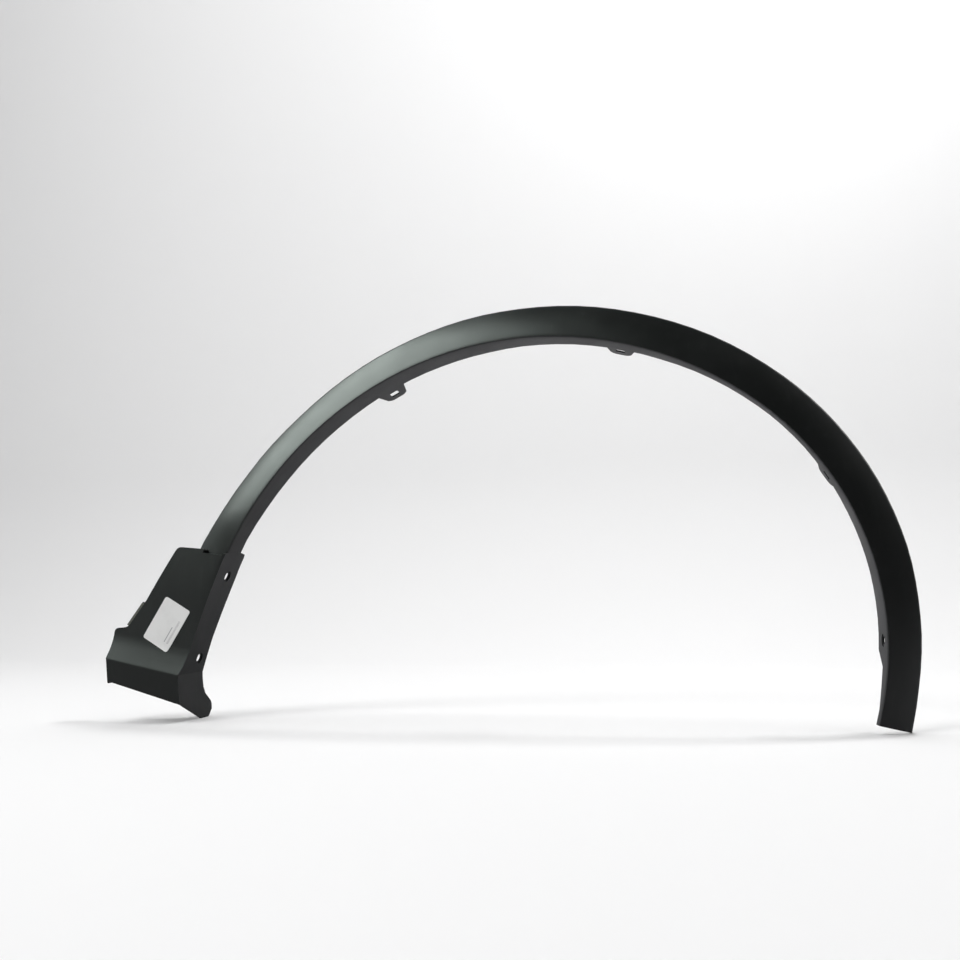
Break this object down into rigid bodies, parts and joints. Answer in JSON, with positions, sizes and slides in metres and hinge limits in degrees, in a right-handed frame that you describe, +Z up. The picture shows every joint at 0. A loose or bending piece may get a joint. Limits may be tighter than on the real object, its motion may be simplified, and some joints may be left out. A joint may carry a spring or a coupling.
{
  "type": "wheel arch trim",
  "caption": "Moulded wheel arch trim: a curved channel with a return flange, slotted tabs, screw holes and a stepped sill end.",
  "frame": {"origin": "middle of the lower screw hole, on its axis and halfway through the thinned flange wall", "axes": "+X along the car from the sill end to the front foot, +Y from the wheel opening's visible face into the body, +Z up as the trim stands in the picture"},
  "size_m": [0.9088, 0.1, 0.4823],
  "materials": {
    "black_moulding": "fine grain, semi-matte",
    "label_paper": "matte",
    "foam": "matte"
  },
  "bodies": {
    "root": {"arch_moulding": "black_moulding", "label": "label_paper", "foam_pad": "foam"}
  },
  "joints": []
}
